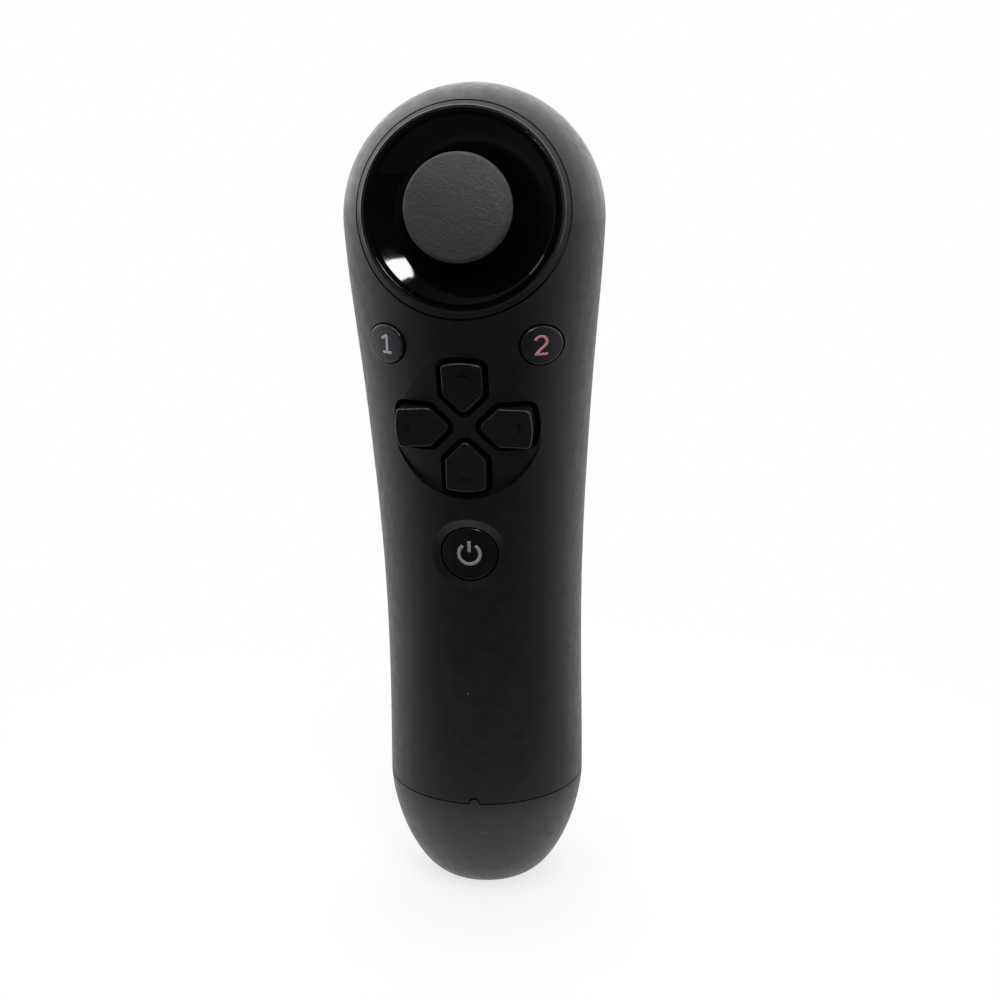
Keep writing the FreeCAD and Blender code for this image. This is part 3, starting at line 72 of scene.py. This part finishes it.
def noise(tree, coords, size, detail=3.0, rough=0.5):
    """Noise whose blotches are about `size` metres across."""
    inputs = {"Vector": coords, "Scale": 1 / size, "Detail": detail, "Roughness": rough}
    return add_node(tree, "ShaderNodeTexNoise", inputs).outputs["Fac"]


def remap(tree, value, span, result=(0.0, 1.0)):
    """A value carried from one span to another, and held at the ends of it."""
    inputs = {"Value": value, "From Min": span[0], "From Max": span[1], "To Min": result[0],
              "To Max": result[1]}
    return add_node(tree, "ShaderNodeMapRange", inputs).outputs["Result"]


def mix_colours(tree, factor, first, second):
    """A colour between two colours, each a triple or another node's output.

    The node has other inputs and outputs of the same names, so those for colours go by number.
    """
    first, second = [(*c, 1) if isinstance(c, tuple) else c for c in (first, second)]
    inputs = {"Factor": factor, FIRST_COLOUR: first, SECOND_COLOUR: second}
    return add_node(tree, "ShaderNodeMix", inputs, data_type="RGBA").outputs[MIXED_COLOUR]


# Surfaces

MOTTLE_SIZE = 0.006
MOTTLE_SPAN = (0.3, 0.7)
WEAR_SIZE = 0.0018
WEAR_SPAN = (0.35, 0.7)
WEAR_DETAIL = 5
GRAIN_DETAIL = 2
GRAIN_ROUGH = 0.6
CELL_SHARE = 1.4
SPECK_SPACING = 0.0026
SPECK_EDGE = (0.03, 0.05)
DUSTY_SIZE = 0.009
DUSTY_DETAIL = 4
DUSTY_ROUGH = 0.7
DUSTY_SPAN = (0.57, 0.63)
DUST = (0.45, 0.45, 0.44)
LACQUER_ROUGH = 0.03


def specks(tree, coords, strength):
    """Small dots, at most `strength` bright, that come only in a few patches."""
    dots = add_node(tree, "ShaderNodeTexVoronoi", {"Vector": coords, "Scale": 1 / SPECK_SPACING})
    dot = remap(tree, dots.outputs["Distance"], SPECK_EDGE, (1, 0))
    patches = noise(tree, coords, DUSTY_SIZE, DUSTY_DETAIL, DUSTY_ROUGH)
    return calculate(tree, "MULTIPLY", dot, remap(tree, patches, DUSTY_SPAN, (0, strength)))


def surface(name, colour, rough, grain, relief, mottle=0.12, spread=0.05, metal=0.0, coat=0.0,
            dust=0.0, leather=0.0, streak=None):
    """A surface whose colour, roughness and relief vary at the scale of the real grain.

    grain and relief are metres: how wide and how deep the grain is. mottle is how far the colour
    varies, as a share of it, and spread how far the roughness does. dust is how strongly the
    specks show, leather the size of coarse cells, streak the stretch of brushed metal.
    """
    made = bpy.data.materials.new(name)
    made.use_nodes = True
    tree = made.node_tree
    coords = tree.nodes.new("ShaderNodeTexCoord").outputs["Object"]
    if streak:
        stretch = add_node(tree, "ShaderNodeMapping", {"Vector": coords, "Scale": streak})
        coords = stretch.outputs["Vector"]
    dark = tuple(c * (1 - mottle) for c in colour)
    light = tuple(c * (1 + mottle) for c in colour)
    mottled = remap(tree, noise(tree, coords, MOTTLE_SIZE), MOTTLE_SPAN)
    shade = mix_colours(tree, mottled, dark, light)
    if dust:
        shade = mix_colours(tree, specks(tree, coords, dust), shade, DUST)
    worn = noise(tree, coords, WEAR_SIZE, WEAR_DETAIL)
    roughness = remap(tree, worn, WEAR_SPAN, (rough - spread, rough + spread))
    height = noise(tree, coords, grain, GRAIN_DETAIL, GRAIN_ROUGH)
    if leather:
        cells = add_node(tree, "ShaderNodeTexVoronoi", {"Vector": coords, "Scale": 1 / leather},
                         feature="SMOOTH_F1")
        height = calculate(tree, "MULTIPLY_ADD", cells.outputs["Distance"], CELL_SHARE, height)
    bump = add_node(tree, "ShaderNodeBump", {"Height": height, "Strength": 1.0, "Distance": relief})
    shader = tree.nodes["Principled BSDF"]
    tree.links.new(shade, shader.inputs["Base Color"])
    tree.links.new(roughness, shader.inputs["Roughness"])
    tree.links.new(bump.outputs["Normal"], shader.inputs["Normal"])
    shader.inputs["Metallic"].default_value = metal
    if coat:
        shader.inputs["Coat Weight"].default_value = coat
        shader.inputs["Coat Roughness"].default_value = LACQUER_ROUGH
    return made


BRUSH = (1.0, 1.0, 12.0)
LOOKS = {
    "shell": dict(colour=(0.0052, 0.0055, 0.0065), rough=0.44, grain=0.00016, relief=0.00001,
                  dust=0.5),
    "gloss": dict(colour=(0.0015, 0.0015, 0.0017), rough=0.055, grain=0.004, relief=0.000004,
                  spread=0.02, dust=0.12),
    "grip": dict(colour=(0.05, 0.0525, 0.0565), rough=0.62, grain=0.0003, relief=0.00005,
                 leather=0.0005, spread=0.08),
    "key": dict(colour=(0.009, 0.0098, 0.0115), rough=0.24, grain=0.0002, relief=0.000008),
    "home": dict(colour=(0.003, 0.0032, 0.004), rough=0.3, grain=0.0002, relief=0.000004),
    "inner_light": dict(colour=(0.6, 0.58, 0.53), rough=0.45, grain=0.0003, relief=0.00001),
    "inner_dark": dict(colour=(0.03, 0.03, 0.032), rough=0.5, grain=0.0003, relief=0.00001),
    "steel": dict(colour=(0.56, 0.56, 0.57), rough=0.3, grain=0.0004, relief=0.000004, metal=1.0,
                  streak=BRUSH),
    "board": dict(colour=(0.008, 0.07, 0.03), rough=0.28, grain=0.0005, relief=0.00001, coat=0.4),
    "chip": dict(colour=(0.012, 0.012, 0.013), rough=0.5, grain=0.0002, relief=0.00001),
    "membrane": dict(colour=(0.2, 0.21, 0.22), rough=0.6, grain=0.0004, relief=0.00001),
    "cell": dict(colour=(0.03, 0.06, 0.2), rough=0.25, grain=0.0012, relief=0.00002, coat=0.5),
    "lead": dict(colour=(0.4, 0.012, 0.01), rough=0.4, grain=0.0003, relief=0.000005),
    "ribbon": dict(colour=(0.32, 0.12, 0.015), rough=0.2, grain=0.0008, relief=0.000005, coat=0.5),
    "screw": dict(colour=(0.12, 0.12, 0.125), rough=0.35, grain=0.0002, relief=0.000006,
                  metal=1.0),
}
looks = {name: surface(name, **facts) for name, facts in LOOKS.items()}
for part in frame["record"]["subparts"]:
    thing = nodes[part["node"]]
    thing.data.materials.clear()
    thing.data.materials.append(looks[part["material_slot"]])


def new_object(name, points, faces, material):
    """A smooth mesh of one material, in the scene."""
    mesh = bpy.data.meshes.new(name)
    mesh.from_pydata(points, [], faces)
    mesh.shade_smooth()
    mesh.materials.append(material)
    made = bpy.data.objects.new(name, mesh)
    bpy.context.collection.objects.link(made)
    return made


# Printed marks, laid on the faces of the keys

LANES = (-0.5, -0.17, 0.17, 0.5)
LONGEST_STEP = 0.15
ARC_DEGREES = 8
FEWEST_ARC_STEPS = 6
IN_FRONT = -100 * MM
INK_GAP = 0.02 * MM
INK_THICKNESS = 0.015 * MM
INK = dict(rough=0.5, grain=0.0003, relief=0.000004, mottle=0.08)


def arc(radius, start, end, middle=(0, 0)):
    """Points along an arc between two angles, in degrees from the right."""
    count = max(FEWEST_ARC_STEPS, int(abs(end - start) / ARC_DEGREES))
    turns = [math.radians(start + (end - start) * step / count) for step in range(count + 1)]
    return [(middle[0] + radius * math.cos(t), middle[1] + radius * math.sin(t)) for t in turns]


def divided(run):
    """The points of a run, with more between them where they are far apart."""
    points = []
    for start, end in zip(run, run[1:]):
        start, end = Vector(start), Vector(end)
        steps = max(1, math.ceil((end - start).length / LONGEST_STEP))
        points += [start.lerp(end, step / steps) for step in range(steps)]
    points.append(Vector(run[-1]))
    return points


def stroke(name, runs, width, centre, node, body, colour):
    """Lines of one width, each a list of (right, up) points, printed on the front of a node.

    The width, the points and the centre that they are measured from are in millimetres. Each line
    has a row of points in every lane, a share of its width, so that it follows a curved face.
    """
    face = BVHTree.FromObject(nodes[node], bpy.context.evaluated_depsgraph_get())
    points = []
    faces = []
    lanes = len(LANES)
    for run in runs:
        line = divided(run)
        first = len(points)
        for index, point in enumerate(line):
            before = line[max(index - 1, 0)]
            after = line[min(index + 1, len(line) - 1)]
            along = (after - before).normalized()
            across = Vector((-along.y, along.x))
            for share in LANES:
                spot = point + across * width * share
                start = (centre[0] * MM + spot.x * MM, IN_FRONT, centre[1] * MM + spot.y * MM)
                hit = face.ray_cast(Vector(start), Vector((0, 1, 0)))[0]
                points.append(hit - Vector((0, INK_GAP, 0)))
        for index in range(len(line) - 1):
            for lane in range(lanes - 1):
                corner = first + index * lanes + lane
                faces.append((corner, corner + lanes, corner + lanes + 1, corner + 1))
    mark = new_object(name, points, faces, surface(name + "_ink", colour, **INK))
    skin = mark.modifiers.new("Ink", "SOLIDIFY")
    skin.thickness = INK_THICKNESS
    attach(mark, body)


ACTION_KEY_X = 12.1
ACTION_KEY_Z = 98.7
HOME_KEY_Z = 63.9
NUMERAL_LINE = 0.42
SYMBOL_LINE = 0.55
BLUE_INK = (0.62, 0.66, 0.76)
RED_INK = (0.75, 0.34, 0.38)
GREY_INK = (0.42, 0.42, 0.44)
ONE = [[(-0.75, 0.75), (0.1, 1.4), (0.1, -1.4)], [(-0.65, -1.4), (0.85, -1.4)]]
TWO = [arc(0.85, 165, -40, (0, 0.6)) + [(-0.85, -1.4)], [(-0.95, -1.4), (0.95, -1.4)]]
POWER = [arc(1.75, 125, 415), [(0, 0.35), (0, 2.25)]]
stroke("left_numeral", ONE, NUMERAL_LINE, (-ACTION_KEY_X, ACTION_KEY_Z), "left_action_button",
       "left_key", BLUE_INK)
stroke("right_numeral", TWO, NUMERAL_LINE, (ACTION_KEY_X, ACTION_KEY_Z), "right_action_button",
       "right_key", RED_INK)
stroke("home_symbol", POWER, SYMBOL_LINE, (0, HOME_KEY_Z), "home_button", "home_key", GREY_INK)

# Fine polished lip round the edge of the dish

PIVOT = Vector((0, -7.3, 117.0)) * MM
LEAN = math.radians(9)
OUT = Vector((0, -math.cos(LEAN), math.sin(LEAN)))
UPWARD = Vector((0, math.sin(LEAN), math.cos(LEAN)))
LIP_PROFILE = [(14.76, 13.7), (14.78, 13.77), (14.84, 13.81), (14.9, 13.842), (15.02, 13.906),
               (15.08, 13.938), (15.15, 13.965), (15.21, 13.94), (15.23, 13.86), (15.23, 13.7)]


def turned_ring(name, profile, material, body, count=240):
    """A ring about the stick's axis, turned from a closed outline of (radius, height) points.

    Both are in millimetres, and the height is along the axis from the stick's pivot.
    """
    points = []
    faces = []
    for step in range(count):
        turn = 2 * math.pi * step / count
        side = Vector((math.cos(turn), 0, 0)) + UPWARD * math.sin(turn)
        points += [PIVOT + (side * radius + OUT * height) * MM for radius, height in profile]
    size = len(profile)
    for step in range(count):
        here = step * size
        there = (step + 1) % count * size
        for index in range(size):
            after = (index + 1) % size
            faces.append((here + index, there + index, there + after, here + after))
    ring = new_object(name, points, faces, material)
    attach(ring, body)


turned_ring("dish_lip", LIP_PROFILE, looks["gloss"], "body")

# Camera, from a fit of the outline to the photograph

FOCAL_LENGTH = 57.6
SENSOR_WIDTH = 36.0
NEAR_CLIP = 0.01
CAMERA_PLACE = (0.035562, -0.264802, 0.139018)
CAMERA_RIGHT = Vector((0.99267, 0.12058, -0.00867))
CAMERA_UP = Vector((-0.02267, 0.25608, 0.96639))
camera_data = bpy.data.cameras.new("Camera")
camera_data.sensor_width = SENSOR_WIDTH
camera_data.lens = FOCAL_LENGTH
camera_data.clip_start = NEAR_CLIP
camera = bpy.data.objects.new("Camera", camera_data)
bpy.context.collection.objects.link(camera)
camera_back = CAMERA_RIGHT.cross(CAMERA_UP).normalized()
facing = Matrix((CAMERA_RIGHT, CAMERA_UP, camera_back)).transposed().to_4x4()
camera.matrix_world = Matrix.Translation(CAMERA_PLACE) @ facing
bpy.context.scene.camera = camera

# Floor and room, white where the camera sees them

DARKEST = 0.015
DARK_UP_TO = -0.92
RISE = 1.8
BACKWARD = Vector((-0.16, 0.987, 0))
ROOM_BRIGHTEST = 2.6
PAPER_SHADE = 0.9
PAPER_ROUGH = 0.9
FLOOR_REACH = 3
# The next two spans paint a pool of light on the floor round the foot: a pale colour for lamps, and
# a white glow seen in mirrors.
PAINTED_POOL_SPAN = (0.02, 0.06)
PAINTED_GLOW_SPAN = (0.035, 0.07)
SHADOW_SPAN = (0.03, 0.14)
SHADOW_WHITE = (0.75, 1.0)


def backlight(tree, vector, brightest):
    """A value that grows from dark in front of the keys to the brightest behind them."""
    flat = add_node(tree, "ShaderNodeVectorMath", {0: vector}, operation="NORMALIZE")
    along = add_node(tree, "ShaderNodeVectorMath", {0: flat.outputs[0], 1: BACKWARD},
                     operation="DOT_PRODUCT")
    share = calculate(tree, "POWER", remap(tree, along.outputs["Value"], (DARK_UP_TO, 1)), RISE)
    return calculate(tree, "ADD", calculate(tree, "MULTIPLY", share, brightest - DARKEST), DARKEST)


def floor_paper():
    """White paper for the camera, which keeps a soft shadow round the foot.

    It lights and mirrors in the object as the room does. Round the foot it has a painted pool of
    light: a pale colour, and a white glow in mirrors that paints a reflection on the foot's
    underside.
    """
    made = bpy.data.materials.new("paper")
    made.use_nodes = True
    tree = made.node_tree
    rays = tree.nodes.new("ShaderNodeLightPath").outputs
    place = tree.nodes.new("ShaderNodeNewGeometry").outputs["Position"]
    length = add_node(tree, "ShaderNodeVectorMath", {0: place}, operation="LENGTH")
    distance = length.outputs["Value"]

    # Painted pool of light: the floor is pale only round the foot, where the object shades it.
    foot = remap(tree, distance, PAINTED_POOL_SPAN, (PAPER_SHADE, DARKEST))
    shade = calculate(tree, "MAXIMUM", foot, backlight(tree, place, PAPER_SHADE))
    tint = add_node(tree, "ShaderNodeMix", {"Factor": rays["Is Camera Ray"], "A": shade,
                                            "B": PAPER_SHADE})
    shader = tree.nodes["Principled BSDF"]
    shader.inputs["Roughness"].default_value = PAPER_ROUGH
    tree.links.new(tint.outputs["Result"], shader.inputs["Base Color"])

    seen = calculate(tree, "MULTIPLY", rays["Is Camera Ray"],
                     remap(tree, distance, SHADOW_SPAN, SHADOW_WHITE))
    # Painted reflection: round the foot the floor glows white in mirrors, with no lamp there.
    painted_foot_glow = remap(tree, distance, PAINTED_GLOW_SPAN, (1, 0))
    mirror_share = calculate(tree, "MAXIMUM", painted_foot_glow, backlight(tree, place, 1.0))
    mirrored = calculate(tree, "MULTIPLY", rays["Is Glossy Ray"], mirror_share)
    glow = add_node(tree, "ShaderNodeEmission", {"Color": WHITE})
    mixed = add_node(tree, "ShaderNodeMixShader", {
        0: calculate(tree, "ADD", seen, mirrored), 1: shader.outputs[0], 2: glow.outputs[0]})
    tree.links.new(mixed.outputs[0], tree.nodes["Material Output"].inputs["Surface"])
    return made


def studio_room():
    """A world that the camera sees as white, and that lights the object mostly from behind."""
    made = bpy.data.worlds.new("studio")
    made.use_nodes = True
    tree = made.node_tree
    tree.nodes.clear()
    rays = tree.nodes.new("ShaderNodeLightPath").outputs
    direction = tree.nodes.new("ShaderNodeTexCoord").outputs["Generated"]
    room = add_node(tree, "ShaderNodeBackground", {
        "Color": WHITE, "Strength": backlight(tree, direction, ROOM_BRIGHTEST)})
    backdrop = add_node(tree, "ShaderNodeBackground", {"Color": WHITE, "Strength": 1.0})
    mixed = add_node(tree, "ShaderNodeMixShader", {
        0: rays["Is Camera Ray"], 1: room.outputs[0], 2: backdrop.outputs[0]})
    add_node(tree, "ShaderNodeOutputWorld", {"Surface": mixed.outputs[0]})
    return made


corners = [(x * FLOOR_REACH, y * FLOOR_REACH, 0) for x, y in ((-1, -1), (1, -1), (1, 1), (-1, 1))]
floor = new_object("floor", corners, [(0, 1, 2, 3)], floor_paper())
bpy.context.scene.world = studio_room()

# Lamps

DISH = Vector((0, -0.022, 0.112))
LAMP_DISTANCE = 0.6


def softbox(name, spot, aim, size, watts):
    """A rectangular lamp at a spot that shines at a point, both in metres."""
    data = bpy.data.lights.new(name, "AREA")
    data.shape = "RECTANGLE"
    data.size, data.size_y = size
    data.energy = watts
    lamp = bpy.data.objects.new(name, data)
    bpy.context.collection.objects.link(lamp)
    away = (Vector(aim) - Vector(spot)).normalized()
    facing = away.to_track_quat("-Z", "Y").to_matrix().to_4x4()
    lamp.matrix_world = Matrix.Translation(spot) @ facing


def dish_lamp(name, right, high, size, watts):
    """A lamp that shines at the dish, at degrees to the right of the front and above the level."""
    right, high = math.radians(right), math.radians(high)
    bearing = Vector((math.sin(right) * math.cos(high), -math.cos(right) * math.cos(high),
                      math.sin(high)))
    softbox(name, DISH + LAMP_DISTANCE * bearing, DISH, size, watts)


dish_lamp("right_window", 25, 37, (0.17, 0.085), 1.1)
dish_lamp("left_window", -48, 31, (0.1, 0.08), 0.05)
dish_lamp("front_glow", -19, -24, (0.1, 0.09), 0.004)
softbox("overhead", (0, -0.3, 0.78), (0, 0, 0.07), (0.8, 0.14), 2.4)

bpy.context.scene.view_settings.view_transform = "Standard"
